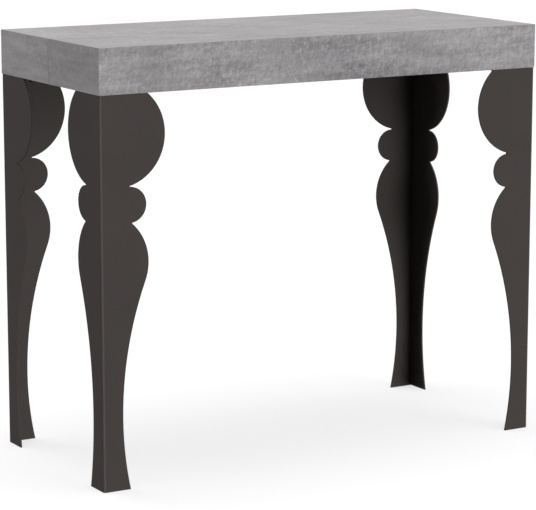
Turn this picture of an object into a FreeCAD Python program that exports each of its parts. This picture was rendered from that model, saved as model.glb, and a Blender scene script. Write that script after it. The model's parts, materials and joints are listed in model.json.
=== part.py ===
import FreeCAD, Part
import math
import os

from FreeCAD import Vector

# Extending console table, closed. X runs along the length, Y through the depth from the front long
# side to the back one, and Z up. The origin is on the floor under the middle of the closed top, and
# the two halves of the top meet at Y = 0. All sizes are in millimetres.

# Top
table_length = 900.0
table_depth = 400.0
table_height = 770.0
slab_height = 80.0
board = 18.0
edging = 1.0
seam_gap = 0.4
block_size = 90.0

# Legs, each one sheet folded to an L. Widths are from the fold, drops are from the leg's top.
leg_inset = 0.2
sheet = 3.0
bend_inside_radius = 1.0
top_width = 91.5
bulb_width = 124.0
bulb_drop = 70.0
neck_height = 1.5
upper_neck_width = 55.5
upper_neck_drop = 158.0
bead_width = 87.0
bead_height = 63.5
lower_neck_width = 60.0
vase_width = 90.5
vase_drop = 290.0
ankle_width = 38.5
ankle_height = 128.0
foot_width = 52.0

# Leg plates and their coach screws. A tip's end is blunt: its radius over the shank's is named.
plate_thickness = 5.0
plate_reach = 72.0
plate_corner_cut = 36.0
weld_relief = 2.0
bolt_radius = 4.0
bolt_length = 50.0
bolt_tip = 5.0
tip_bluntness = 0.25
bolt_head_across = 13.0
bolt_head_height = 5.5
bolt_flange_radius = 9.0
bolt_flange_height = 1.5
bolt_setback = 30.0
bolt_spacing = 30.0
bolt_hole_clearance = 0.5

# Telescopic rails
stage_count = 5
rail_spread = 120.0
rail_width = 16.0
rail_height = 40.0
rail_gap = 1.0
rail_drop = 6.0
rail_end_gap = 7.0
rail_overlap = 90.0
rail_web = 3.0
rail_flange = 3.0
rail_lip = 2.0
rail_lip_height = 8.0
slide_clearance = 0.3
slider_stop_gap = 0.5
slider_peg_radius = 3.0
slider_peg_clearance = 0.1

# Strips that fasten the end rails to the top
strip_width = 20.0
strip_thickness = 3.0
strip_seam_gap = 8.0
strip_screw_count = 3
strip_screw_margin = 20.0

# Cross ties between like rails
tie_width = 20.0
tie_thickness = 4.0
tie_pitch = 45.0
tie_running_gap = 1.5
tie_pad_margin = 0.5
tie_screw_offset = 5.5

# Screws
screw_radius = 2.0
screw_length = 15.0
screw_tip = 3.0
screw_head_radius = 3.8
screw_head_height = 2.4
screw_sink_depth = 1.8
screw_socket_across = 2.5
screw_socket_depth = 1.3
screw_hole_clearance = 0.2
thread_clearance = 0.05

# Dowel pins
dowel_radius = 4.0
dowel_spacing = 220.0
dowel_embedded = 25.0
dowel_free = 15.0
dowel_chamfer = 1.5
dowel_hole_clearance = 0.3
dowel_hole_spare = 3.0

# Leaf locks: pivot on the front half, keeper pin on the back half
latch_end_gap = 100.0
pivot_setback = 30.0
keeper_setback = 18.0
latch_plate = 3.0
latch_plate_length = 46.0
latch_plate_width = 24.0
latch_screw_spacing = 32.0
lever_thickness = 3.0
lever_clearance = 0.3
lever_eye_radius = 11.0
lever_arm_width = 16.0
lever_head_width = 26.0
lever_head_depth = 22.0
lever_head_round = 4.0
lever_handle_length = 34.0
lever_handle_width = 12.0
lever_tab_drop = 16.0
latch_pin_radius = 4.0
latch_pin_clearance = 0.05
latch_pin_head_radius = 6.5
latch_pin_head_height = 2.0

# Places that follow from the sizes above
half_length = table_length / 2
half_depth = table_depth / 2
seam_face = -seam_gap / 2
leg_height = table_height - slab_height
panel_under = table_height - board
panel_middle = table_height - board / 2
bend_radius = bend_inside_radius + sheet
rail_top = panel_under - rail_drop
rail_bottom = rail_top - rail_height
rail_length = table_depth - 2 * board - 2 * rail_end_gap
rail_pitch = rail_width + rail_gap
rail_cavity = (rail_width - rail_web) / 2 - rail_lip
slider_length = (rail_overlap - slider_stop_gap) / 2
slider_middle = (rail_length - slider_length) / 2
last_rail = stage_count + 1
tie_top = rail_bottom - tie_running_gap
lever_top = panel_under - latch_plate - lever_clearance
lever_bottom = lever_top - lever_thickness
lever_radius = pivot_setback + keeper_setback
latch_x = half_length - latch_end_gap


def box(x0, x1, y0, y1, z0, z1):
    """A box between two values on each axis, given in either order."""
    low = Vector(min(x0, x1), min(y0, y1), min(z0, z1))
    return Part.makeBox(abs(x1 - x0), abs(y1 - y0), abs(z1 - z0), low)


def rod(radius, start, along):
    """A cylinder from a point along a vector."""
    return Part.makeCylinder(radius, along.Length, start, along)


def prism(points, along):
    """A closed outline of points, extruded along a vector."""
    return Part.Face(Part.makePolygon(points + points[:1])).extrude(along)


def hexagon(across, z):
    """Corner points of a level hexagon about the Z axis, by its size across flats."""
    radius = across / math.sqrt(3)
    corners = [math.radians(60 * i) for i in range(6)]
    return [Vector(radius * math.cos(a), radius * math.sin(a), z) for a in corners]


def frustum(outer, inner):
    """A six-sided solid between two rectangles whose corners run the same way round."""
    sides = [[outer[i], outer[i - 1], inner[i - 1], inner[i]] for i in range(4)]
    faces = [Part.Face(Part.makePolygon(loop + loop[:1])) for loop in [outer, inner] + sides]
    solid = Part.Solid(Part.makeShell(faces))
    if solid.Volume < 0:
        solid.reverse()
    return solid


def placed(shape, x, y, z):
    """A copy of a shape moved from the origin."""
    copy = shape.copy()
    copy.translate(Vector(x, y, z))
    return copy


def other_end(shape):
    """The same piece at the other end of the table."""
    return shape.mirror(Vector(), Vector(1, 0, 0))


def other_half(shape):
    """The same piece on the other half of the table."""
    return shape.mirror(Vector(), Vector(0, 1, 0))


def both_ends(shapes):
    """The shapes with their copies at the other end."""
    return shapes + [other_end(shape) for shape in shapes]


def export(node, shapes):
    """Writes one node from its separate solids."""
    solids = [solid for shape in shapes for solid in shape.Solids]
    shape = solids[0] if len(solids) == 1 else Part.makeCompound(solids)
    shape.exportStep("parts/" + node + ".step")


def screw(length, sunk):
    """A socket screw up the Z axis, with the face that it clamps at Z = 0."""
    tip_start = Vector(0, 0, length - screw_tip)
    shank = rod(screw_radius, Vector(), tip_start)
    tip = Part.makeCone(screw_radius, screw_radius * tip_bluntness, screw_tip, tip_start)
    if sunk:
        head_face = 0.0
        head = Part.makeCone(screw_head_radius, screw_radius, screw_sink_depth)
    else:
        head_face = -screw_head_height
        head = rod(screw_head_radius, Vector(0, 0, head_face), Vector(0, 0, screw_head_height))
        rim = [edge for edge in head.Edges if edge.BoundBox.ZMax < head_face / 2]
        head = head.makeFillet(screw_head_height / 2, rim)
    socket = prism(hexagon(screw_socket_across, head_face), Vector(0, 0, screw_socket_depth))
    return shank.fuse([tip, head]).cut(socket).removeSplitter()


def screw_hole(x, y, z):
    """The pilot hole above a clamped face for a screw of the full length."""
    return rod(screw_radius + thread_clearance, Vector(x, y, z), Vector(0, 0, screw_length))


def half_boards():
    """Top panel, long apron and left and right aprons of the front half, up to its seam face."""
    x_in = half_length - board
    y_in = board - half_depth
    z_low = leg_height
    panel = frustum(
        [Vector(-half_length, -half_depth, table_height), Vector(half_length, -half_depth, table_height),
         Vector(half_length, seam_face, table_height), Vector(-half_length, seam_face, table_height)],
        [Vector(-x_in, y_in, panel_under), Vector(x_in, y_in, panel_under),
         Vector(x_in, seam_face, panel_under), Vector(-x_in, seam_face, panel_under)])
    long_apron = frustum(
        [Vector(-half_length, -half_depth, z_low), Vector(half_length, -half_depth, z_low),
         Vector(half_length, -half_depth, table_height), Vector(-half_length, -half_depth, table_height)],
        [Vector(-x_in, y_in, z_low), Vector(x_in, y_in, z_low),
         Vector(x_in, y_in, panel_under), Vector(-x_in, y_in, panel_under)])
    left_apron = frustum(
        [Vector(-half_length, -half_depth, z_low), Vector(-half_length, seam_face, z_low),
         Vector(-half_length, seam_face, table_height), Vector(-half_length, -half_depth, table_height)],
        [Vector(-x_in, y_in, z_low), Vector(-x_in, seam_face, z_low),
         Vector(-x_in, seam_face, panel_under), Vector(-x_in, y_in, panel_under)])
    return panel, long_apron, left_apron, other_end(left_apron)


def dowel_places():
    """X of each dowel pin along the seam."""
    return [-dowel_spacing, 0.0, dowel_spacing]


def dowel_pin(x):
    """A pin across the seam, chamfered at both ends."""
    start = Vector(x, seam_face - dowel_embedded, panel_middle)
    pin = rod(dowel_radius, start, Vector(0, dowel_embedded + dowel_free, 0))
    ends = [edge for edge in pin.Edges if edge.BoundBox.YLength < dowel_chamfer]
    return pin.makeChamfer(dowel_chamfer, ends)


def dowel_holes(clearance, depth, toward):
    """Blind holes for the pins from the seam, into the front (toward -1) or the back (toward 1)."""
    return [rod(dowel_radius + clearance, Vector(x, 0, panel_middle), Vector(0, toward * depth, 0))
            for x in dowel_places()]


def corner_block():
    """Glued block in the front left corner, drilled for the leg's coach screws."""
    x = board - half_length
    y = board - half_depth
    block = box(x, x + block_size, y, y + block_size, leg_height, panel_under)
    holes = [rod(bolt_radius + thread_clearance, Vector(bx, by, leg_height), Vector(0, 0, bolt_length))
             for bx, by in bolt_places()]
    return block.cut(holes)


def swell_centre(widest, end):
    """Centre of the arc to a point from where an outline is widest or narrowest, and so runs upright."""
    chord = end - widest
    return widest + Vector(chord.Length ** 2 / (2 * chord.x), 0, 0)


def swell(widest, end):
    """The arc from an outline's widest or narrowest point, where it runs upright, to another point."""
    centre = swell_centre(widest, end)
    toward_middle = (widest + end) / 2 - centre
    middle = centre + toward_middle * (centre.distanceToPoint(widest) / toward_middle.Length)
    return Part.Arc(widest, middle, end)


def hollow_start(vase, centre, ankle):
    """Where the vase's circle passes into the long hollow that is narrowest at the ankle."""
    vase_radius = vase.x - centre.x
    lean = ankle.x - centre.x
    rise = vase.z - ankle.z
    hollow_radius = (lean ** 2 + rise ** 2 - vase_radius ** 2) / (2 * (vase_radius - lean))
    hollow_centre = ankle + Vector(hollow_radius, 0, 0)
    return centre + (hollow_centre - centre) * (vase_radius / (vase_radius + hollow_radius))


def leg_outline():
    """Outline of one flange in the XZ plane: X is the width from the fold, Z the height."""
    upper_z = leg_height - upper_neck_drop
    lower_z = upper_z - bead_height
    top = Vector(top_width, 0, leg_height)
    bulb = Vector(bulb_width, 0, leg_height - bulb_drop)
    bulb_end = Vector(upper_neck_width, 0, upper_z + neck_height / 2)
    bead_top = Vector(upper_neck_width, 0, upper_z - neck_height / 2)
    bead = Vector(bead_width, 0, (upper_z + lower_z) / 2)
    bead_end = Vector(lower_neck_width, 0, lower_z + neck_height / 2)
    vase_top = Vector(lower_neck_width, 0, lower_z - neck_height / 2)
    vase = Vector(vase_width, 0, leg_height - vase_drop)
    ankle = Vector(ankle_width, 0, ankle_height)
    foot = Vector(foot_width, 0, 0)
    fold_top = Vector(bend_radius, 0, leg_height)
    fold_foot = Vector(bend_radius, 0, 0)
    vase_end = hollow_start(vase, swell_centre(vase, vase_top), ankle)
    curves = [
        Part.LineSegment(fold_foot, foot),
        swell(ankle, foot),
        swell(ankle, vase_end),
        swell(vase, vase_end),
        swell(vase, vase_top),
        Part.LineSegment(vase_top, bead_end),
        swell(bead, bead_end),
        swell(bead, bead_top),
        Part.LineSegment(bead_top, bulb_end),
        swell(bulb, bulb_end),
        swell(bulb, top),
        Part.LineSegment(top, fold_top),
        Part.LineSegment(fold_top, fold_foot),
    ]
    return Part.Wire([curve.toShape() for curve in curves])


def leg():
    """Folded leg in the front left corner."""
    front = Part.Face(leg_outline()).extrude(Vector(0, sheet, 0))
    side = front.mirror(Vector(), Vector(1, -1, 0))
    centre = Vector(bend_radius, bend_radius, 0)
    up = Vector(0, 0, leg_height)
    fold = rod(bend_radius, centre, up).cut(rod(bend_inside_radius, centre, up))
    fold = fold.common(box(0, bend_radius, 0, bend_radius, 0, leg_height))
    return placed(front.fuse([fold, side]), leg_inset - half_length, leg_inset - half_depth, 0)


def bolt_places():
    """X and Y of the three coach screws of the front left leg."""
    x = leg_inset + sheet + bolt_setback - half_length
    y = leg_inset + sheet + bolt_setback - half_depth
    return [(x, y), (x + bolt_spacing, y), (x, y + bolt_spacing)]


def leg_plate():
    """Plate welded inside the top of the front left leg."""
    short = plate_reach - plate_corner_cut
    z = leg_height - plate_thickness
    corners = [(weld_relief, 0), (plate_reach, 0), (plate_reach, short), (short, plate_reach),
               (0, plate_reach), (0, weld_relief)]
    plate = prism([Vector(x, y, z) for x, y in corners], Vector(0, 0, plate_thickness))
    plate = placed(plate, leg_inset + sheet - half_length, leg_inset + sheet - half_depth, 0)
    holes = [rod(bolt_radius + bolt_hole_clearance, Vector(x, y, z), Vector(0, 0, plate_thickness))
             for x, y in bolt_places()]
    return plate.cut(holes)


def leg_bolt(x, y):
    """Flange-head coach screw up through a leg plate into its block."""
    flange = rod(bolt_flange_radius, Vector(0, 0, -bolt_flange_height), Vector(0, 0, bolt_flange_height))
    head = prism(hexagon(bolt_head_across, -bolt_head_height), Vector(0, 0, bolt_head_height))
    tip_start = Vector(0, 0, bolt_length - bolt_tip)
    shank = rod(bolt_radius, Vector(), tip_start)
    tip = Part.makeCone(bolt_radius, bolt_radius * tip_bluntness, bolt_tip, tip_start)
    bolt = shank.fuse([flange, head, tip]).removeSplitter()
    return placed(bolt, x, y, leg_height - plate_thickness)


def rail_x(number):
    """X of a left rail's web: rail 0 is the front half's and the last one is the back half's."""
    return -(rail_spread + (last_rail - number) * rail_pitch)


def rail_profile(x, left, right):
    """A rail along the table's depth with a lipped channel on its left side, its right side or both."""
    y = rail_length / 2
    x0 = x - (rail_width if left else rail_web) / 2
    x1 = x + (rail_width if right else rail_web) / 2
    rail = box(x0, x1, -y, y, rail_bottom, rail_top)
    for open_side, toward in ((left, -1), (right, 1)):
        if open_side:
            web = x + toward * rail_web / 2
            face = x + toward * rail_width / 2
            channel = box(web, web + toward * rail_cavity, -y, y,
                          rail_bottom + rail_flange, rail_top - rail_flange)
            mouth = box(web, face, -y, y, rail_bottom + rail_flange + rail_lip_height,
                        rail_top - rail_flange - rail_lip_height)
            rail = rail.cut([channel, mouth])
    return rail


def peg_hole(x, end):
    """Hole through a rail's web for the peg of the slider at its back (1) or front (-1) end."""
    start = Vector(x - rail_web, end * slider_middle, (rail_bottom + rail_top) / 2)
    return rod(slider_peg_radius + slider_peg_clearance, start, Vector(2 * rail_web, 0, 0))


def slider(number, end):
    """Slider fixed in a left rail's back (1) or front (-1) end, running in the next or last rail."""
    host = rail_x(number)
    middle = host + end * rail_pitch / 2
    y0 = end * slider_middle - slider_length / 2
    y1 = y0 + slider_length
    z_mid = (rail_bottom + rail_top) / 2
    shoe_high = rail_height / 2 - rail_flange - slide_clearance
    neck_high = shoe_high - rail_lip_height
    inner = rail_gap / 2 + rail_lip + slide_clearance
    outer = rail_gap / 2 + rail_lip + rail_cavity - slide_clearance
    body = box(middle - inner, middle + inner, y0, y1, z_mid - neck_high, z_mid + neck_high)
    shoes = [box(middle + side * inner, middle + side * outer, y0, y1, z_mid - shoe_high, z_mid + shoe_high)
             for side in (-1, 1)]
    peg_length = rail_web + slide_clearance - slider_peg_clearance
    peg_start = Vector(middle - end * outer, end * slider_middle, z_mid)
    peg = rod(slider_peg_radius, peg_start, Vector(-end * peg_length, 0, 0))
    return body.fuse(shoes + [peg]).removeSplitter()


def strip_screw_places(x, strip_side, half):
    """X and Y of the screws in an end rail's fastening strip, on the front (-1) or back (1) half."""
    first = strip_seam_gap + strip_screw_margin
    last = rail_length / 2 - strip_screw_margin
    step = (last - first) / (strip_screw_count - 1)
    screw_x = x + strip_side * (rail_web + strip_width) / 2
    return [(screw_x, half * (first + i * step)) for i in range(strip_screw_count)]


def end_rail(number, channel_side, half):
    """Left rail of the front (-1) or back (1) half, with its strip under that half's top panel."""
    x = rail_x(number)
    strip_side = -channel_side
    near = half * strip_seam_gap
    far = half * rail_length / 2
    z = panel_under - strip_thickness
    web_face = x + strip_side * rail_web / 2
    rail = rail_profile(x, channel_side < 0, channel_side > 0)
    rib = box(x - rail_web / 2, x + rail_web / 2, near, far, rail_top, panel_under)
    strip = box(web_face, web_face + strip_side * strip_width, near, far, z, panel_under)
    rail = rail.fuse([rib, strip]).removeSplitter()
    holes = [rod(screw_radius + screw_hole_clearance, Vector(sx, sy, z), Vector(0, 0, strip_thickness))
             for sx, sy in strip_screw_places(x, strip_side, half)]
    return rail.cut(holes + [peg_hole(x, -half)])


def tie_screw_places(number):
    """X and Y of the two screws that hold the left end of a stage's cross tie."""
    x = rail_x(number)
    y = tie_y(number)
    outer_x = x - (rail_web + rail_cavity) / 2
    return [(outer_x, y - tie_screw_offset), (outer_x, y + tie_screw_offset)]


def tie_y(number):
    """Y of the middle of a stage's cross tie."""
    return (number - (stage_count + 1) / 2) * tie_pitch


def stage_rail(number):
    """Left rail of a stage between the halves."""
    x = rail_x(number)
    holes = [rod(screw_radius + thread_clearance, Vector(sx, sy, rail_bottom), Vector(0, 0, rail_flange))
             for sx, sy in tie_screw_places(number)]
    return rail_profile(x, True, True).cut(holes + [peg_hole(x, -1), peg_hole(x, 1)])


def cross_tie(number):
    """Flat bar under a stage's two rails, stepped down between them to pass under the inner rails."""
    y = tie_y(number) - tie_width / 2
    outer = rail_x(number) - rail_width / 2 + tie_pad_margin
    step = rail_x(number) + rail_width / 2 - tie_pad_margin
    inner = step + tie_running_gap
    upper = [(outer, rail_bottom), (step, rail_bottom), (inner, tie_top)]
    lower = [(x, z - tie_thickness) for x, z in upper]
    left = [Vector(x, y, z) for x, z in upper]
    right = [Vector(-x, y, z) for x, z in reversed(upper)]
    under_right = [Vector(-x, y, z) for x, z in lower]
    under_left = [Vector(x, y, z) for x, z in reversed(lower)]
    tie = prism(left + right + under_right + under_left, Vector(0, tie_width, 0))
    seat = rail_bottom - tie_thickness
    holes = [rod(screw_radius + screw_hole_clearance, Vector(x, sy, seat), Vector(0, 0, tie_thickness))
             for sx, sy in tie_screw_places(number) for x in (sx, -sx)]
    return tie.cut(holes)


def tie_screw(x, y):
    """Screw up through a cross tie into a rail's lower flange."""
    length = tie_thickness + rail_flange - thread_clearance
    return placed(screw(length, False), x, y, rail_bottom - tie_thickness)


def latch_screw_places(y):
    """X and Y of the two screws of a right leaf lock plate."""
    return [(latch_x + side * latch_screw_spacing / 2, y) for side in (-1, 1)]


def latch_fixing(y):
    """Right leaf lock plate under the top with its headed pin, at a distance from the seam."""
    z = panel_under - latch_plate
    straight = (latch_plate_length - latch_plate_width) / 2
    round_end = latch_plate_width / 2
    plate = box(latch_x - straight, latch_x + straight, y - round_end, y + round_end, z, panel_under)
    ends = [rod(round_end, Vector(latch_x + side * straight, y, z), Vector(0, 0, latch_plate))
            for side in (-1, 1)]
    head_top = lever_bottom - lever_clearance
    pin = rod(latch_pin_radius, Vector(latch_x, y, head_top), Vector(0, 0, z - head_top))
    head = rod(latch_pin_head_radius, Vector(latch_x, y, head_top), Vector(0, 0, -latch_pin_head_height))
    sinks = []
    for sx, sy in latch_screw_places(y):
        sinks.append(rod(screw_radius + screw_hole_clearance, Vector(sx, sy, z), Vector(0, 0, latch_plate)))
        sinks.append(Part.makeCone(screw_head_radius + thread_clearance, screw_radius + thread_clearance,
                                   screw_sink_depth, Vector(sx, sy, z)))
    return plate.fuse(ends + [pin, head]).cut(sinks).removeSplitter()


def latch_screws(y):
    """Sunk screws of a right leaf lock plate."""
    return [placed(screw(screw_length, True), sx, sy, panel_under - latch_plate)
            for sx, sy in latch_screw_places(y)]


def latch_lever():
    """Lever of the right leaf lock, lying along the seam with its hook outwards, unlocked."""
    thick = Vector(0, 0, lever_thickness)
    eye = rod(lever_eye_radius, Vector(), thick)
    arm = box(-lever_arm_width / 2, lever_arm_width / 2, 0, lever_radius, 0, lever_thickness)
    head = box(-lever_head_width / 2, lever_head_width / 2, lever_radius - lever_head_depth / 2,
               lever_radius + lever_head_depth / 2, 0, lever_thickness)
    corners = [edge for edge in head.Edges if edge.BoundBox.ZLength > lever_thickness / 2]
    head = head.makeFillet(lever_head_round, corners)
    handle = box(-lever_handle_width / 2, lever_handle_width / 2, -lever_handle_length, 0,
                 0, lever_thickness)
    tab = box(-lever_handle_width / 2, lever_handle_width / 2, -lever_handle_length,
              lever_thickness - lever_handle_length, -lever_tab_drop, lever_thickness)
    slot_half = latch_pin_radius + lever_clearance
    ring = rod(lever_radius + slot_half, Vector(), thick).cut(rod(lever_radius - slot_half, Vector(), thick))
    mouth = ring.common(box(-lever_head_width, 0, 0, 2 * lever_radius, 0, lever_thickness))
    seat = rod(slot_half, Vector(0, lever_radius, 0), thick)
    bore = rod(latch_pin_radius + latch_pin_clearance, Vector(), thick)
    lever = eye.fuse([arm, head, handle, tab]).cut([mouth, seat, bore]).removeSplitter()
    lever.rotate(Vector(), Vector(0, 0, 1), -90)
    return placed(lever, latch_x, -pivot_setback, lever_bottom)


def build_half(name, turned, boards, holes, dowel_cuts):
    """Exports the boards, edging, blocks and legs of one half from the front half's shapes."""
    near_seam = box(-half_length, half_length, seam_face - edging, seam_face, leg_height, table_height)
    panel, long_apron, left_apron, right_apron = boards
    edges = [turned(piece.common(near_seam)) for piece in (panel, left_apron, right_apron)]
    export(name + "_top_panel", [turned(panel.cut(near_seam)).cut(holes + dowel_cuts)])
    export(name + "_long_apron", [turned(long_apron)])
    export(name + "_left_apron", [turned(left_apron.cut(near_seam))])
    export(name + "_right_apron", [turned(right_apron.cut(near_seam))])
    export(name + "_seam_edging", [edges[0].cut(dowel_cuts)] + edges[1:])
    export(name + "_corner_blocks", [turned(block) for block in both_ends([corner_block()])])
    export(name + "_left_leg", [turned(leg())])
    export(name + "_right_leg", [turned(other_end(leg()))])
    export(name + "_leg_plates", [turned(plate) for plate in both_ends([leg_plate()])])
    bolts = [leg_bolt(x, y) for x, y in bolt_places()]
    export(name + "_leg_bolts", [turned(bolt) for bolt in both_ends(bolts)])


def build_end_rails(name, number, half):
    """Exports one half's rails, with the sliders and screws that stay on them."""
    rail = end_rail(number, -half, half)
    export(name + "_left_rail", [rail])
    export(name + "_right_rail", [other_end(rail)])
    export(name + "_rail_sliders", both_ends([slider(number, -half)]))
    screws = [placed(screw(screw_length, False), x, y, panel_under - strip_thickness)
              for x, y in strip_screw_places(rail_x(number), half, half)]
    export(name + "_rail_screws", both_ends(screws))


def build_stage(number):
    """Exports one rail stage between the halves."""
    rail = stage_rail(number)
    export("left_rail_%d" % number, [rail])
    export("right_rail_%d" % number, [other_end(rail)])
    export("cross_tie_%d" % number, [cross_tie(number)])
    export("rail_sliders_%d" % number, both_ends([slider(number, -1), slider(number, 1)]))
    screws = [tie_screw(x, y) for x, y in tie_screw_places(number)]
    export("tie_screws_%d" % number, both_ends(screws))


def panel_holes(number, half, plate_y):
    """Pilot holes in one half's top panel for its rail screws and its leaf lock plates."""
    rails = strip_screw_places(rail_x(number), half, half)
    places = [(x, y, panel_under - strip_thickness) for x, y in rails]
    places += [(x, y, panel_under - latch_plate) for x, y in latch_screw_places(plate_y)]
    return both_ends([screw_hole(x, y, z) for x, y, z in places])


def main():
    os.makedirs("parts", exist_ok=True)
    boards = half_boards()
    tight = dowel_holes(thread_clearance, dowel_embedded - seam_face, -1)
    loose = dowel_holes(dowel_hole_clearance, dowel_free + dowel_hole_spare, 1)
    build_half("front", Part.Shape.copy, boards, panel_holes(0, -1, -pivot_setback), tight)
    build_half("back", other_half, boards, panel_holes(last_rail, 1, keeper_setback), loose)
    build_end_rails("front", 0, -1)
    build_end_rails("back", last_rail, 1)
    for number in range(1, stage_count + 1):
        build_stage(number)
    export("dowel_pins", [dowel_pin(x) for x in dowel_places()])
    export("latch_bases", both_ends([latch_fixing(-pivot_setback)]))
    export("latch_keepers", both_ends([latch_fixing(keeper_setback)]))
    export("latch_screws", both_ends(latch_screws(-pivot_setback)))
    export("keeper_screws", both_ends(latch_screws(keeper_setback)))
    export("left_latch_lever", [other_end(latch_lever())])
    export("right_latch_lever", [latch_lever()])


main()
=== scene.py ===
import json
import math
from collections import namedtuple

import bmesh
import bpy
from mathutils import Matrix, Vector


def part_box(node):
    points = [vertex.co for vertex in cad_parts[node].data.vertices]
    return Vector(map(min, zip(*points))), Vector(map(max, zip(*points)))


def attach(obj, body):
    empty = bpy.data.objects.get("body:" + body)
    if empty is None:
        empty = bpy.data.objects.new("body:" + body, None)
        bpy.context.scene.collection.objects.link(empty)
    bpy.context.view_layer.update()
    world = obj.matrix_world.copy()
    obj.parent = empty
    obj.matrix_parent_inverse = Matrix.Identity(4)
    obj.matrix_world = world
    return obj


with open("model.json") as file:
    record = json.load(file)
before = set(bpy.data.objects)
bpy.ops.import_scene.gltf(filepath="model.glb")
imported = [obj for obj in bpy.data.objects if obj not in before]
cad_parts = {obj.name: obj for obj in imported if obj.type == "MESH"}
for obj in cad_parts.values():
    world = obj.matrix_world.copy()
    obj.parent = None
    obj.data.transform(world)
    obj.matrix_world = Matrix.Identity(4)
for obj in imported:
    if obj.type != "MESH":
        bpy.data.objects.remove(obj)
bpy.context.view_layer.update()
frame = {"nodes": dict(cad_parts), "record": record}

bl_info = {
    "name": "Extending Console Table",
    "version": (1, 0, 0),
    "blender": (4, 5, 0),
    "location": "3D View > Sidebar > Console Table",
    "description": "Finishes, leg welds and studio stage of an extending cement-effect console table",
    "category": "Object",
}

# How a board or bar lies: its directions along the grain, across it and through its thickness
LEVEL_ALONG_X = ((1, 0, 0), (0, 1, 0), (0, 0, 1))
UPRIGHT_ALONG_X = ((1, 0, 0), (0, 0, 1), (0, -1, 0))
UPRIGHT_ALONG_Y = ((0, 1, 0), (0, 0, 1), (1, 0, 0))
LEVEL_ALONG_Y = ((0, 1, 0), (-1, 0, 0), (0, 0, 1))

# A layer of noise: its size in mm, its weight, its detail, and its stretch along a lean in degrees
Layer = namedtuple("Layer", "size weight detail stretch lean", defaults=(2, 1.0, 0))
LAYER_ROUGHNESS = 0.6
NOISE_MIDDLE = 0.5

# Dots of a pattern: their spacing and largest radius in mm, the share of places that have one, and
# their stretch along a lean in degrees. A dot's soft rim is a share of the largest radius.
Dots = namedtuple("Dots", "spacing largest share stretch lean", defaults=(1.0, 0))
DOT_RIM = 0.5

# Curls that a pattern is drawn along: their size and reach in mm, and their detail
Curls = namedtuple("Curls", "size reach detail")

# Sockets of a Mix node for colours, several of which share a name
MIX_SHARE = 0
MIX_UNDER = 6
MIX_OVER = 7
MIX_RESULT = 2

# Fine mottling of the cement print, and the patches in which its strength goes from usual to least
MOTTLES = (Layer(28, 0.55, detail=3, stretch=2.5), Layer(12, 0.5, detail=3, stretch=2.4, lean=8),
           Layer(6, 0.65, stretch=2.8, lean=78), Layer(5, 0.6, stretch=2.6, lean=18),
           Layer(3.2, 0.5, detail=1))
MOTTLE_PATCHES = (Layer(220, 2.2, detail=1, stretch=1.5),)
USUAL_MOTTLING = 0.75
LEAST_MOTTLING = 0.35

# Blow holes and sand grains of the cement print
PITS = Dots(18, 2.0, 0.06)
GRAINS = Dots(11, 2.0, 0.08)

# Pale flecks of the cement print, which stand nearly upright, with their curls and clusters
FLECKS = Dots(6, 2.8, 0.9, stretch=2.0, lean=78)
FLECK_CURLS = Curls(size=9, reach=14, detail=2)
FLECK_CLUSTERS = (Layer(50, 3.5, stretch=1.5),)
USUAL_FLECKING = 0.45

# How a face shows the print: its tone and contrast, its shares of pits, grains and flecks, and its
# clouds and streaks
CementFace = namedtuple("CementFace", "tone contrast pits grains flecks clouds")
CLOUDS = Layer(190, 0.6, detail=1, stretch=1.6)
TROWEL_STREAKS = Layer(22, 0.6, stretch=7.0)
TOP_FACE = CementFace(tone=0.49, contrast=0.45, pits=0.3, grains=0.3, flecks=0.2,
                      clouds=(CLOUDS._replace(weight=0.8), Layer(60, 0.5, stretch=1.3),
                              TROWEL_STREAKS._replace(weight=0.3, stretch=3.0)))
APRON_FACE = CementFace(tone=0.45, contrast=0.95, pits=0.5, grains=0.3, flecks=0.38,
                        clouds=(CLOUDS, TROWEL_STREAKS))
END_FACE = CementFace(tone=0.48, contrast=0.7, pits=0.5, grains=0.5, flecks=0.25,
                      clouds=(CLOUDS, TROWEL_STREAKS, Layer(9, 0.6, stretch=9.0)))
END_FACES = {"front": END_FACE, "back": END_FACE._replace(tone=0.56)}

# Where each board is cut from the sheet of print, in metres along it and across it
TOP_CUT = (0.3, 0.1, 0)
APRON_CUTS = {"front": (1.3, 0.6, 0), "back": (3.3, 0.6, 0)}
END_CUTS = {("front", "left"): (0.7, 2.4, 0), ("front", "right"): (0.7, 4.1, 0),
            ("back", "left"): (2.6, 2.4, 0), ("back", "right"): (2.6, 4.1, 0)}

# The painted highlight over a leg's fold is at full strength within this distance of both outer faces, in mm
HIGHLIGHT_CREST = 1

# Flecks of the beech, and how strongly they show
BEECH_FLECKS = Dots(2.2, 0.7, 0.6, stretch=4.0)
BEECH_FLECKING = 0.7

# Eased edges: their steps, the angle from which an edge is eased, and how near points are merged, in mm
EASE_STEPS = 2
EASE_ANGLE = math.radians(40)
MERGE_DISTANCE = 0.01

# A weld bead: its sides, its share of full size at an end, its growth from ring to ring there, and the
# angle up to which its faces are smooth
BEAD_SIDES = 24
BEAD_END_SHARE = 0.45
BEAD_END_GROWTH = 0.2
BEAD_SMOOTH_ANGLE = math.radians(50)

# The stage: plain white, the camera's sensor and how far the floor lies under the feet, both in mm
WHITE = (1, 1, 1, 1)
SENSOR_WIDTH = 36
FLOOR_DROP = 0.2


def linear(hex_colour):
    """Linear RGB of an sRGB hex colour."""
    channels = [int(hex_colour[i:i + 2], 16) / 255 for i in (0, 2, 4)]
    return tuple(c / 12.92 if c <= 0.04045 else ((c + 0.055) / 1.055) ** 2.4 for c in channels)


def mm(size):
    """Metres from millimetres."""
    return size / 1000


def per_metre(size_mm):
    """Texture scale at which one feature is that many millimetres across."""
    return 1000 / size_mm


def rgba(colour):
    """A colour with full alpha."""
    return (*colour, 1.0)


def shaded(colour, *shares):
    """A colour at several shares of its brightness."""
    return [[channel * share for channel in colour] for share in shares]


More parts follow.
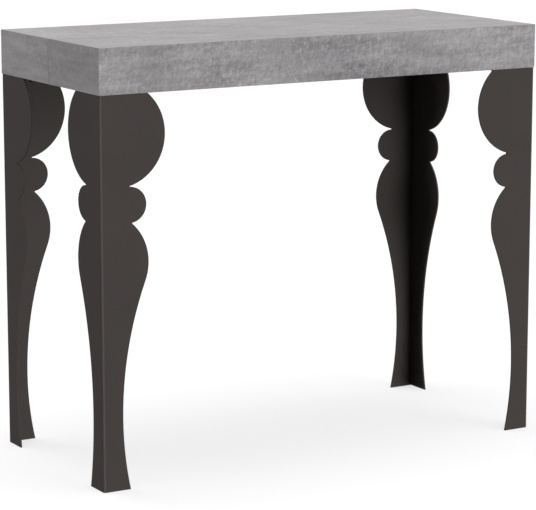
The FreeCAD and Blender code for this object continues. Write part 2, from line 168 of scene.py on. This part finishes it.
def nodes_of(slot):
    """The CAD nodes of one material slot, as the record gives them."""
    return [part["node"] for part in frame["record"]["subparts"] if part["material_slot"] == slot]


def colour_property(name, description, hex_colour):
    """A colour that a user can change, with an sRGB hex default."""
    return bpy.props.FloatVectorProperty(name=name, description=description, subtype="COLOR", size=3,
                                         min=0, max=1, default=linear(hex_colour))


def size_property(name, description, size_mm):
    """A length that a user can change, with a default in millimetres."""
    return bpy.props.FloatProperty(name=name, description=description, subtype="DISTANCE", unit="LENGTH",
                                   min=0, precision=5, default=mm(size_mm))


class ConsoleFinishes(bpy.types.PropertyGroup):
    """Colours and eased edges of the table's finishes."""
    cement_dark: colour_property("Cement, dark", "Damp-looking patches of the cement print", "716e71")
    cement_mid: colour_property("Cement", "Main tone of the cement print", "a4a1a3")
    cement_light: colour_property("Cement, light", "Lime-bloomed patches of the cement print", "cecbce")
    cement_pit: colour_property("Cement pits", "Blow holes in the cement print", "646264")
    cement_grain: colour_property("Cement grains", "Pale grains and flecks in the cement print", "dcdad8")
    coat: colour_property("Powder coat", "Anthracite coat of the legs", "4c4745")
    # Painted highlight: a paler colour painted along the fold of each leg, as wide as the fold radius below
    painted_fold_highlight: colour_property("Powder coat, painted fold highlight", "Painted highlight along the fold of a leg", "888180")
    fold_radius: size_property("Fold radius", "Outside radius of the fold of a leg", 4.0)
    zinc: colour_property("Zinc plate", "Bright zinc on steel fixings", "b9bcc0")
    zinc_tint: colour_property("Zinc tint", "Faint warm cast of the passivated zinc", "b8b3a4")
    black_zinc: colour_property("Black zinc", "Black passivated zinc of the leg bolts", "2e2d2e")
    aluminium: colour_property("Aluminium", "Natural extruded rails", "c6c7c9")
    acetal: colour_property("Acetal", "Black moulded sliders", "1f1f20")
    beech_pale: colour_property("Beech, pale", "Early wood of the beech", "d8b28b")
    beech_dark: colour_property("Beech, dark", "Late wood and flecks of the beech", "b07f55")
    board_ease: size_property("Board edges", "Easing of the boards' edges", 0.3)
    metal_ease: size_property("Metal edges", "Easing of bars, rails, sliders and levers", 0.25)
    block_ease: size_property("Block edges", "Easing of the corner blocks' edges", 1.0)


class ConsoleWelds(bpy.types.PropertyGroup):
    """Fillet welds of the leg plates."""
    bead_size: size_property("Bead size", "Leg length of the fillet", 4.0)
    bead_setback: size_property("Bead setback", "From the plate's ends to the ends of the bead", 9.0)
    ripple: size_property("Ripple", "Spacing of the ripples along the bead", 1.6)
    ripple_depth: bpy.props.FloatProperty(
        name="Ripple depth", description="How far a ripple's hollow draws in", subtype="FACTOR",
        min=0, max=1, default=0.12)


class ConsoleStage(bpy.types.PropertyGroup):
    """Camera and studio light."""
    camera_place: bpy.props.FloatVectorProperty(
        name="Camera place", description="Where the camera stands", subtype="TRANSLATION", unit="LENGTH",
        size=3, default=(-2.2214, -3.8178, 1.1693))
    camera_yaw: bpy.props.FloatProperty(
        name="Camera yaw", description="Turn from straight ahead towards the table's right end",
        subtype="ANGLE", unit="ROTATION", default=math.radians(30.118))
    camera_pitch: bpy.props.FloatProperty(
        name="Camera pitch", description="Tilt below level", subtype="ANGLE", unit="ROTATION",
        default=math.radians(10.576))
    camera_lens: bpy.props.FloatProperty(
        name="Lens", description="Focal length on a 36 mm sensor", unit="CAMERA", default=161.86)
    front_light: bpy.props.FloatVectorProperty(
        name="Front light", description="Light on the right end, the front and the top", size=3, min=0,
        default=(0.44, 0.68, 0.0))
    back_light: bpy.props.FloatVectorProperty(
        name="Back light", description="Light on the left end, the back and the top", size=3, min=0,
        default=(0.29, 0.47, 0.10))
    overhead_light: bpy.props.FloatProperty(
        name="Overhead light", description="Light on the top alone", default=0.77, min=0)
    softness: bpy.props.FloatProperty(
        name="Softness", description="Angle that each light fills, as a softbox does", subtype="ANGLE",
        unit="ROTATION", default=math.radians(55))
    fill: bpy.props.FloatProperty(
        name="Fill", description="Light from all round", default=0.02, min=0)
    floor_side: bpy.props.FloatProperty(
        name="Floor side", description="Side of the square floor", subtype="DISTANCE", unit="LENGTH",
        default=60.0)
    floor_colour: colour_property(
        "Floor", "Matt grey under the floor's glow, which gives the shadow its depth", "a0a0a0")
    floor_glow: bpy.props.FloatProperty(
        name="Floor glow", description="White that the floor shows besides the light on it", default=0.70,
        min=0)


def add_node(tree, kind, inputs=None, colours=(), **settings):
    """Adds a node with its settings, sets or links its inputs by name or number, and spreads colours
    evenly over it if it is a ramp.
    """
    node = tree.nodes.new(kind)
    for name, value in settings.items():
        setattr(node, name, value)
    for name, value in (inputs or {}).items():
        if isinstance(value, bpy.types.NodeSocket):
            tree.links.new(value, node.inputs[name])
        else:
            node.inputs[name].default_value = value
    if colours:
        stops = node.color_ramp.elements
        for i in range(1, len(colours) - 1):
            stops.new(i / (len(colours) - 1))
        for stop, colour in zip(stops, colours):
            stop.color = rgba(colour)
    return node


def new_material(name, **constants):
    """A material with one shader, whose constant values are set on its own sockets."""
    material = bpy.data.materials.new(name)
    material.use_nodes = True
    shader = material.node_tree.nodes["Principled BSDF"]
    for socket, value in constants.items():
        shader.inputs[socket.replace("_", " ")].default_value = value
    return material, material.node_tree, shader


def laid_out(tree, lay, shift=(0, 0, 0)):
    """Coordinates along, across and through a board, from its lay, with the print shifted."""
    place = add_node(tree, "ShaderNodeTexCoord")
    return add_node(tree, "ShaderNodeMapping", {"Vector": place.outputs["Object"], "Location": shift,
                                                "Rotation": Matrix(lay).to_euler()}).outputs[0]


def curled(tree, where, curls):
    """Coordinates that are pushed about, so that what is drawn on them curls."""
    noise = add_node(tree, "ShaderNodeTexNoise", {"Vector": where, "Scale": per_metre(curls.size),
                                                  "Detail": curls.detail})
    push = add_node(tree, "ShaderNodeVectorMath", {0: noise.outputs["Color"], 1: [NOISE_MIDDLE] * 3},
                    operation="SUBTRACT").outputs[0]
    return add_node(tree, "ShaderNodeVectorMath", {0: push, 1: [mm(curls.reach)] * 3, 2: where},
                    operation="MULTIPLY_ADD").outputs[0]


def layered_tone(tree, where, layers, middle=NOISE_MIDDLE):
    """Sum of noise layers, each stretched along its lean, about a middle tone."""
    tone = middle - NOISE_MIDDLE * sum(layer.weight for layer in layers)
    for layer in layers:
        drawn = add_node(tree, "ShaderNodeMapping", {"Vector": where, "Scale": (layer.stretch, 1, 1),
                                                     "Rotation": (0, 0, math.radians(layer.lean))},
                         vector_type="TEXTURE")
        noise = add_node(tree, "ShaderNodeTexNoise", {"Vector": drawn.outputs[0],
                                                      "Scale": per_metre(layer.size),
                                                      "Detail": layer.detail, "Roughness": LAYER_ROUGHNESS})
        tone = add_node(tree, "ShaderNodeMath", {0: noise.outputs["Fac"], 1: layer.weight, 2: tone},
                        operation="MULTIPLY_ADD").outputs[0]
    return tone


def scattered_dots(tree, where, dots, space):
    """Mask of soft-edged dots, strewn on a flat print ("2D") or through a solid ("3D")."""
    drawn = add_node(tree, "ShaderNodeMapping", {"Vector": where, "Scale": (dots.stretch, 1, 1),
                                                 "Rotation": (0, 0, math.radians(dots.lean))},
                     vector_type="TEXTURE")
    cells = add_node(tree, "ShaderNodeTexVoronoi", {"Vector": drawn.outputs[0],
                                                    "Scale": per_metre(dots.spacing)},
                     voronoi_dimensions=space)
    draw = add_node(tree, "ShaderNodeSeparateColor", {0: cells.outputs["Color"]})
    reach = dots.largest / dots.spacing
    radius = add_node(tree, "ShaderNodeMath", {0: draw.outputs["Green"], 1: reach}, operation="MULTIPLY")
    inside = add_node(tree, "ShaderNodeMath", {0: radius.outputs[0], 1: cells.outputs["Distance"]},
                      operation="SUBTRACT")
    soft = add_node(tree, "ShaderNodeMath", {0: inside.outputs[0], 1: 1 / (DOT_RIM * reach)},
                    operation="MULTIPLY", use_clamp=True)
    hit = add_node(tree, "ShaderNodeMath", {0: draw.outputs["Red"], 1: dots.share}, operation="LESS_THAN")
    return add_node(tree, "ShaderNodeMath", {0: soft.outputs[0], 1: hit.outputs[0]},
                    operation="MULTIPLY").outputs[0]


def cement_melamine(name, finishes, lay, cut, face):
    """Melamine-faced chipboard with a printed cement decor, pressed on a matt plate.

    The print gives the eye cloudy patches, trowel streaks, clusters of curled pale flecks, blow holes and
    grains under one even, slightly waxy matt face. All but the clouds is drawn about twice its real size,
    to show.
    """
    material, tree, shader = new_material(name, Roughness=0.7, Specular_IOR_Level=0.2)
    where = laid_out(tree, lay, cut)
    patches = layered_tone(tree, where, MOTTLE_PATCHES, middle=USUAL_MOTTLING)
    worked = add_node(tree, "ShaderNodeMath", {0: patches, 1: LEAST_MOTTLING}, operation="MAXIMUM")
    mottled = add_node(tree, "ShaderNodeMath", {0: layered_tone(tree, where, MOTTLES, middle=0),
                                                1: worked.outputs[0],
                                                2: layered_tone(tree, where, face.clouds, middle=0)},
                       operation="MULTIPLY_ADD")
    shade = add_node(tree, "ShaderNodeMath", {0: mottled.outputs[0], 1: face.contrast, 2: face.tone},
                     operation="MULTIPLY_ADD").outputs[0]
    cement = (finishes.cement_dark, finishes.cement_mid, finishes.cement_light)
    colour = add_node(tree, "ShaderNodeValToRGB", {0: shade}, cement).outputs[0]
    flecks = scattered_dots(tree, curled(tree, where, FLECK_CURLS), FLECKS, "2D")
    clusters = layered_tone(tree, where, FLECK_CLUSTERS, middle=USUAL_FLECKING)
    clustered = add_node(tree, "ShaderNodeMath", {0: flecks, 1: clusters}, operation="MULTIPLY",
                         use_clamp=True)
    pits = scattered_dots(tree, where, PITS, "2D")
    grains = scattered_dots(tree, where, GRAINS, "2D")
    for mask, share, dot in ((clustered.outputs[0], face.flecks, finishes.cement_grain),
                             (pits, face.pits, finishes.cement_pit),
                             (grains, face.grains, finishes.cement_grain)):
        amount = add_node(tree, "ShaderNodeMath", {0: mask, 1: share}, operation="MULTIPLY")
        colour = add_node(tree, "ShaderNodeMix", {MIX_SHARE: amount.outputs[0], MIX_UNDER: colour,
                                                  MIX_OVER: rgba(dot)},
                          data_type="RGBA").outputs[MIX_RESULT]
    tree.links.new(colour, shader.inputs["Base Color"])
    height = add_node(tree, "ShaderNodeMath", {0: shade, 1: pits}, operation="SUBTRACT")
    relief = add_node(tree, "ShaderNodeBump", {"Height": height.outputs[0], "Distance": mm(0.12),
                                               "Strength": 0.25})
    tree.links.new(relief.outputs[0], shader.inputs["Normal"])
    return material


def powder_coat(name, finishes, outer_faces):
    """Polyester powder coat, baked matt on steel sheet.

    It gives the eye a dense dark grey with a faint orange peel, which breaks up every highlight, and a
    paler line painted over the fold of a leg as a highlight, between two outer faces that lie
    at given distances from the table's middle. The peel is drawn about twice as coarse as it is, to show.
    """
    material, tree, shader = new_material(name, Roughness=0.8, Specular_IOR_Level=0.06)
    where = laid_out(tree, LEVEL_ALONG_X)
    tone = layered_tone(tree, where, (Layer(120, 0.5), Layer(5, 0.4, detail=1)))
    coat = add_node(tree, "ShaderNodeValToRGB", {0: tone}, shaded(finishes.coat, 0.8, 1.2))
    sides = add_node(tree, "ShaderNodeSeparateXYZ", {0: where})
    # Painted highlight: a paler line over each leg's fold, where a point lies within the fold radius of both
    # outer faces
    highlight_share = 1.0
    for side, face in zip(sides.outputs, outer_faces):
        outwards = add_node(tree, "ShaderNodeMath", {0: side}, operation="ABSOLUTE")
        near = add_node(tree, "ShaderNodeMapRange", {"Value": outwards.outputs[0],
                                                     "From Min": face - finishes.fold_radius,
                                                     "From Max": face - mm(HIGHLIGHT_CREST)})
        highlight_share = add_node(tree, "ShaderNodeMath", {0: near.outputs[0], 1: highlight_share},
                           operation="MULTIPLY").outputs[0]
    # The painted fold highlight is mixed over the coat's colour
    colour = add_node(tree, "ShaderNodeMix", {MIX_SHARE: highlight_share, MIX_UNDER: coat.outputs[0],
                                              MIX_OVER: rgba(finishes.painted_fold_highlight)}, data_type="RGBA")
    tree.links.new(colour.outputs[MIX_RESULT], shader.inputs["Base Color"])
    peel = layered_tone(tree, where, (Layer(3, 1.0, detail=1),))
    relief = add_node(tree, "ShaderNodeBump", {"Height": peel, "Distance": mm(0.1), "Strength": 0.2})
    tree.links.new(relief.outputs[0], shader.inputs["Normal"])
    return material


def zinc_plate(name, plate, tint):
    """Steel, electroplated with zinc and passivated clear or black.

    It gives the eye a cool metal with a faint warm cast in places and soft, slightly smeared highlights.
    """
    material, tree, shader = new_material(name, Metallic=1.0)
    where = laid_out(tree, LEVEL_ALONG_X)
    cast = layered_tone(tree, where, (Layer(14, 1.6),), middle=0.35)
    colour = add_node(tree, "ShaderNodeValToRGB", {0: cast}, (plate, tint))
    tree.links.new(colour.outputs[0], shader.inputs["Base Color"])
    smears = layered_tone(tree, where, (Layer(4, 0.25),), middle=0.36)
    tree.links.new(smears, shader.inputs["Roughness"])
    return material


def extruded_aluminium(name, finishes):
    """Aluminium, extruded through a die and left natural.

    It gives the eye a pale satin grey with fine die lines along the rail, drawn at about twice their real
    spacing, to show.
    """
    material, tree, shader = new_material(name, Metallic=1.0)
    where = laid_out(tree, LEVEL_ALONG_Y)
    die_lines = Layer(1.6, 1.0, stretch=150.0)
    lines = layered_tone(tree, where, (die_lines,))
    colour = add_node(tree, "ShaderNodeValToRGB", {0: lines}, shaded(finishes.aluminium, 0.86, 1.0))
    tree.links.new(colour.outputs[0], shader.inputs["Base Color"])
    satin = layered_tone(tree, where, (die_lines._replace(weight=0.2), Layer(60, 0.12)), middle=0.36)
    tree.links.new(satin, shader.inputs["Roughness"])
    relief = add_node(tree, "ShaderNodeBump", {"Height": lines, "Distance": mm(0.03), "Strength": 0.3})
    tree.links.new(relief.outputs[0], shader.inputs["Normal"])
    return material


def moulded_acetal(name, finishes):
    """Acetal, injection moulded in a spark-eroded mould.

    It gives the eye a black with a fine even grain and a soft waxy sheen where the rails have rubbed it.
    """
    material, tree, shader = new_material(name, Specular_IOR_Level=0.45)
    where = laid_out(tree, LEVEL_ALONG_Y)
    rub_marks = Layer(9, 1.2, stretch=6.0)
    rubbed = layered_tone(tree, where, (rub_marks,))
    colour = add_node(tree, "ShaderNodeValToRGB", {0: rubbed}, shaded(finishes.acetal, 0.8, 1.5))
    tree.links.new(colour.outputs[0], shader.inputs["Base Color"])
    sheen = layered_tone(tree, where, (rub_marks._replace(weight=0.3),), middle=0.44)
    tree.links.new(sheen, shader.inputs["Roughness"])
    grain = layered_tone(tree, where, (Layer(1.2, 1.0, detail=1),))
    relief = add_node(tree, "ShaderNodeBump", {"Height": grain, "Distance": mm(0.05), "Strength": 0.3})
    tree.links.new(relief.outputs[0], shader.inputs["Normal"])
    return material


def planed_beech(name, finishes, lay):
    """Steamed beech, planed and left bare.

    It gives the eye a pinkish tan with long soft grain and short dark flecks along it.
    """
    material, tree, shader = new_material(name, Roughness=0.6, Specular_IOR_Level=0.35)
    where = laid_out(tree, lay)
    grain = layered_tone(tree, where, (Layer(7, 1.3, detail=3, stretch=14.0), Layer(60, 0.6, stretch=5.0)),
                         middle=0.4)
    wood = add_node(tree, "ShaderNodeValToRGB", {0: grain}, (finishes.beech_pale, finishes.beech_dark))
    flecks = scattered_dots(tree, where, BEECH_FLECKS, "3D")
    amount = add_node(tree, "ShaderNodeMath", {0: flecks, 1: BEECH_FLECKING}, operation="MULTIPLY")
    colour = add_node(tree, "ShaderNodeMix", {MIX_SHARE: amount.outputs[0], MIX_UNDER: wood.outputs[0],
                                              MIX_OVER: rgba(finishes.beech_dark)}, data_type="RGBA")
    tree.links.new(colour.outputs[MIX_RESULT], shader.inputs["Base Color"])
    relief = add_node(tree, "ShaderNodeBump", {"Height": grain, "Distance": mm(0.08), "Strength": 0.3})
    tree.links.new(relief.outputs[0], shader.inputs["Normal"])
    return material


def dress(nodes, material):
    """Gives CAD nodes one finish."""
    for node in nodes:
        slots = frame["nodes"][node].data.materials
        slots.clear()
        slots.append(material)


def ease_edges(nodes, width):
    """Live easing of the sharp edges of CAD nodes, over their merged triangles."""
    for node in nodes:
        piece = frame["nodes"][node]
        weld = piece.modifiers.new("Merged triangles", "WELD")
        weld.merge_threshold = mm(MERGE_DISTANCE)
        bevel = piece.modifiers.new("Eased edges", "BEVEL")
        bevel.width = width
        bevel.segments = EASE_STEPS
        bevel.limit_method = "ANGLE"
        bevel.angle_limit = EASE_ANGLE


class CONSOLE_OT_boards(bpy.types.Operator):
    """Finish the cement-effect boards of the top and the edging along its seam"""
    bl_idname = "console_table.boards"
    bl_label = "Cement Boards"

    def execute(self, context):
        finishes = context.scene.console_finishes
        top = cement_melamine("Cement melamine, top", finishes, LEVEL_ALONG_X, TOP_CUT, TOP_FACE)
        dress(["front_top_panel", "back_top_panel"] + nodes_of("cement_edging"), top)
        for half in ("front", "back"):
            apron = cement_melamine("Cement melamine, %s apron" % half, finishes, UPRIGHT_ALONG_X,
                                    APRON_CUTS[half], APRON_FACE)
            dress([half + "_long_apron"], apron)
            for side in ("left", "right"):
                end = cement_melamine("Cement melamine, %s %s end" % (half, side), finishes, UPRIGHT_ALONG_Y,
                                      END_CUTS[half, side], END_FACES[half])
                dress(["%s_%s_apron" % (half, side)], end)
        ease_edges(nodes_of("cement_board"), finishes.board_ease)
        return {"FINISHED"}


class CONSOLE_OT_legs(bpy.types.Operator):
    """Coat the folded legs and their plates"""
    bl_idname = "console_table.legs"
    bl_label = "Coated Legs"

    def execute(self, context):
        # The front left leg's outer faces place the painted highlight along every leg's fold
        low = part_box("front_left_leg")[0]
        coat = powder_coat("Powder coat, anthracite", context.scene.console_finishes, (-low.x, -low.y))
        dress(nodes_of("anthracite_coat"), coat)
        return {"FINISHED"}


def pick(context, chosen):
    """Selects the vertices of the piece in edit mode whose place passes a test."""
    mesh = bmesh.from_edit_mesh(context.active_object.data)
    for vertex in mesh.verts:
        vertex.select = chosen(vertex.co)
    mesh.select_flush_mode()
    bmesh.update_edit_mesh(context.active_object.data)


class CONSOLE_OT_welds(bpy.types.Operator):
    """Model the rippled fillet welds that hold the plates in the legs"""
    bl_idname = "console_table.welds"
    bl_label = "Leg Welds"

    def bead(self, context, welds, start, length):
        """One bead along X in the corner under a plate, from a point on the corner's line."""
        bpy.ops.object.select_all(action="DESELECT")
        middle = start + Vector((length / 2, 0, 0))
        bpy.ops.mesh.primitive_cylinder_add(vertices=BEAD_SIDES, radius=welds.bead_size, depth=length,
                                            location=middle, rotation=(0, math.radians(90), 0))
        bpy.ops.object.transform_apply(location=True, rotation=True, scale=True)
        bead = context.active_object
        bpy.ops.object.mode_set(mode="EDIT")
        bpy.ops.mesh.select_mode(type="EDGE")
        bpy.ops.mesh.select_all(action="DESELECT")
        # The lengthways edges are cut into rings, and every other ring is the hollow of a ripple
        mesh = bmesh.from_edit_mesh(bead.data)
        for edge in mesh.edges:
            edge.select = abs(edge.verts[0].co.x - edge.verts[1].co.x) > length / 2
        bmesh.update_edit_mesh(bead.data)
        rings = 2 * round(length / welds.ripple)
        bpy.ops.mesh.subdivide(number_cuts=rings - 1)
        bpy.ops.mesh.select_mode(type="VERT")
        step = length / rings
        for ring in range(rings + 1):
            x = start.x + ring * step
            from_end = min(ring, rings - ring)
            share = 1 - welds.ripple_depth * (ring % 2)
            share *= min(1.0, BEAD_END_SHARE + BEAD_END_GROWTH * from_end)
            pick(context, lambda place: abs(place.x - x) < step / 4)
            bpy.ops.transform.resize(value=(1, share, share), center_override=(x, start.y, start.z))
        for outward in ((0, -1, 0), (0, 0, 1)):
            bpy.ops.mesh.select_all(action="SELECT")
            bpy.ops.mesh.bisect(plane_co=start, plane_no=outward, use_fill=True, clear_outer=True)
        bpy.ops.mesh.select_all(action="SELECT")
        bpy.ops.mesh.normals_make_consistent(inside=False)
        bpy.ops.object.mode_set(mode="OBJECT")
        bpy.ops.object.shade_smooth_by_angle(angle=BEAD_SMOOTH_ANGLE)
        return bead

    def copy(self, context, bead, matrix):
        """A copy of a bead with its own mesh, turned or mirrored in its mesh."""
        twin = bead.copy()
        twin.data = bead.data.copy()
        twin.data.transform(matrix)
        if matrix.is_negative:
            twin.data.flip_normals()
        context.scene.collection.objects.link(twin)
        return twin

    def execute(self, context):
        welds = context.scene.console_welds
        plates_low, plates_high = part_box("front_leg_plates")
        reach = plates_high.y - plates_low.y
        start = plates_low + Vector((welds.bead_setback, 0, 0))
        front_bead = self.bead(context, welds, start, reach - 2 * welds.bead_setback)
        # The side bead is the front one with X and Y swapped about the plate's corner
        to_corner = Matrix.Translation(-plates_low)
        swap = Matrix(((0, 1, 0, 0), (1, 0, 0, 0), (0, 0, 1, 0), (0, 0, 0, 1)))
        side_bead = self.copy(context, front_bead, to_corner.inverted() @ swap @ to_corner)
        coat = frame["nodes"]["front_left_leg"].data.materials[0]
        other_end = Matrix.Scale(-1, 4, (1, 0, 0))
        other_half = Matrix.Scale(-1, 4, (0, 1, 0))
        front = [front_bead, side_bead]
        front += [self.copy(context, bead, other_end) for bead in (front_bead, side_bead)]
        back = [self.copy(context, bead, other_half) for bead in front]
        for half, beads in (("front", front), ("back", back)):
            bpy.ops.object.select_all(action="DESELECT")
            for bead in beads:
                bead.select_set(True)
            context.view_layer.objects.active = beads[0]
            bpy.ops.object.join()
            joined = context.active_object
            joined.name = half + "_leg_welds"
            joined.data.materials.clear()
            joined.data.materials.append(coat)
            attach(joined, half + "_half")
        return {"FINISHED"}


class CONSOLE_OT_fixings(bpy.types.Operator):
    """Plate the screws, bolts, ties and leaf locks with zinc"""
    bl_idname = "console_table.fixings"
    bl_label = "Zinc Fixings"

    def execute(self, context):
        finishes = context.scene.console_finishes
        fixings = nodes_of("zinc_steel")
        dress(fixings, zinc_plate("Zinc plate, bright", finishes.zinc, finishes.zinc_tint))
        leg_bolts = [node for node in fixings if "leg_bolts" in node]
        dress(leg_bolts, zinc_plate("Zinc plate, black", finishes.black_zinc, finishes.coat))
        bars = [node for node in fixings if "cross_tie" in node or "lever" in node]
        ease_edges(bars, finishes.metal_ease)
        return {"FINISHED"}


class CONSOLE_OT_rails(bpy.types.Operator):
    """Finish the telescopic rails and their sliders"""
    bl_idname = "console_table.rails"
    bl_label = "Rails and Sliders"

    def execute(self, context):
        finishes = context.scene.console_finishes
        rails = nodes_of("rail_aluminium")
        sliders = nodes_of("slider_plastic")
        dress(rails, extruded_aluminium("Aluminium, natural extruded", finishes))
        dress(sliders, moulded_acetal("Acetal, black moulded", finishes))
        ease_edges(rails + sliders, finishes.metal_ease)
        return {"FINISHED"}


class CONSOLE_OT_timber(bpy.types.Operator):
    """Finish the beech corner blocks and dowel pins"""
    bl_idname = "console_table.timber"
    bl_label = "Beech Blocks and Dowels"

    def execute(self, context):
        finishes = context.scene.console_finishes
        blocks = [node for node in nodes_of("beech") if "corner_blocks" in node]
        dress(blocks, planed_beech("Beech, planed block", finishes, LEVEL_ALONG_X))
        dress(["dowel_pins"], planed_beech("Beech, turned dowel", finishes, LEVEL_ALONG_Y))
        ease_edges(blocks, finishes.block_ease)
        return {"FINISHED"}


def seen_directly(tree):
    """1 for rays that show a surface to the camera, straight or through gloss or glass."""
    path = add_node(tree, "ShaderNodeLightPath")
    seen = path.outputs["Is Camera Ray"]
    for kind in ("Is Glossy Ray", "Is Transmission Ray"):
        either = add_node(tree, "ShaderNodeMath", {0: seen, 1: path.outputs[kind]}, operation="MAXIMUM")
        seen = either.outputs[0]
    return seen


class CONSOLE_OT_stage(bpy.types.Operator):
    """Set the floor, the studio light and the camera"""
    bl_idname = "console_table.stage"
    bl_label = "Studio Stage"

    def floor(self, context, stage):
        """A pale matt floor that takes the table's shadow and stays out of the light on the table."""
        bpy.ops.object.select_all(action="DESELECT")
        bpy.ops.mesh.primitive_plane_add(size=stage.floor_side, location=(0, 0, -mm(FLOOR_DROP)))
        floor = context.active_object
        floor.name = "studio_floor"
        material, tree, shader = new_material("Floor, pale matt", Base_Color=rgba(stage.floor_colour),
                                              Roughness=1.0, Specular_IOR_Level=0.0, Emission_Color=WHITE)
        glow = add_node(tree, "ShaderNodeMath", {0: seen_directly(tree), 1: stage.floor_glow},
                        operation="MULTIPLY")
        tree.links.new(glow.outputs[0], shader.inputs["Emission Strength"])
        floor.data.materials.append(material)
        floor.visible_diffuse = False
        floor.visible_shadow = False

    def world(self, scene, stage):
        """Even fill light, and a white background where the camera sees it."""
        scene.world = bpy.data.worlds.new("Studio")
        scene.world.use_nodes = True
        tree = scene.world.node_tree
        fill = tree.nodes["Background"]
        fill.inputs["Color"].default_value = WHITE
        fill.inputs["Strength"].default_value = stage.fill
        white = add_node(tree, "ShaderNodeBackground", {"Color": WHITE, "Strength": 1.0})
        mixed = add_node(tree, "ShaderNodeMixShader", {0: seen_directly(tree), 1: fill.outputs[0],
                                                       2: white.outputs[0]})
        tree.links.new(mixed.outputs[0], tree.nodes["World Output"].inputs["Surface"])

    def lamp(self, scene, name, towards, softness):
        """A soft light from a direction whose length is its strength on a white face."""
        data = bpy.data.lights.new(name, "SUN")
        data.energy = math.pi * towards.length
        data.angle = softness
        lamp = bpy.data.objects.new(name, data)
        lamp.rotation_euler = towards.to_track_quat("Z", "Y").to_euler()
        scene.collection.objects.link(lamp)

    def camera(self, scene, stage):
        """The camera at the photograph's viewing angle."""
        data = bpy.data.cameras.new("Camera")
        data.sensor_width = SENSOR_WIDTH
        data.lens = stage.camera_lens
        camera = bpy.data.objects.new("Camera", data)
        camera.location = stage.camera_place
        camera.rotation_euler = (math.radians(90) - stage.camera_pitch, 0, -stage.camera_yaw)
        scene.collection.objects.link(camera)
        scene.camera = camera

    def execute(self, context):
        scene = context.scene
        stage = scene.console_stage
        scene.view_settings.view_transform = "Standard"
        self.floor(context, stage)
        self.world(scene, stage)
        right, front, top = stage.front_light
        self.lamp(scene, "Front light", Vector((right, -front, top)), stage.softness)
        left, back, top = stage.back_light
        self.lamp(scene, "Back light", Vector((-left, back, top)), stage.softness)
        self.lamp(scene, "Overhead light", Vector((0, 0, stage.overhead_light)), stage.softness)
        self.camera(scene, stage)
        return {"FINISHED"}


PIECES = (CONSOLE_OT_boards, CONSOLE_OT_legs, CONSOLE_OT_welds, CONSOLE_OT_fixings, CONSOLE_OT_rails,
          CONSOLE_OT_timber, CONSOLE_OT_stage)


class CONSOLE_PT_table(bpy.types.Panel):
    """Lists the table's pieces and what can be changed"""
    bl_idname = "CONSOLE_PT_table"
    bl_label = "Console Table"
    bl_space_type = "VIEW_3D"
    bl_region_type = "UI"
    bl_category = "Console Table"

    def draw(self, context):
        scene = context.scene
        for group in (scene.console_finishes, scene.console_welds, scene.console_stage):
            for name in group.__annotations__:
                self.layout.prop(group, name)
        for piece in PIECES:
            self.layout.operator(piece.bl_idname)


CLASSES = (ConsoleFinishes, ConsoleWelds, ConsoleStage, *PIECES, CONSOLE_PT_table)


def register():
    """Adds the classes and the scene's settings."""
    for kind in CLASSES:
        bpy.utils.register_class(kind)
    bpy.types.Scene.console_finishes = bpy.props.PointerProperty(type=ConsoleFinishes)
    bpy.types.Scene.console_welds = bpy.props.PointerProperty(type=ConsoleWelds)
    bpy.types.Scene.console_stage = bpy.props.PointerProperty(type=ConsoleStage)


def unregister():
    """Removes the scene's settings and the classes."""
    del bpy.types.Scene.console_stage
    del bpy.types.Scene.console_welds
    del bpy.types.Scene.console_finishes
    for kind in reversed(CLASSES):
        bpy.utils.unregister_class(kind)


def main():
    """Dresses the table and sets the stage."""
    register()
    bpy.ops.console_table.boards()
    bpy.ops.console_table.legs()
    bpy.ops.console_table.welds()
    bpy.ops.console_table.fixings()
    bpy.ops.console_table.rails()
    bpy.ops.console_table.timber()
    bpy.ops.console_table.stage()


if __name__ == "__main__":
    main()
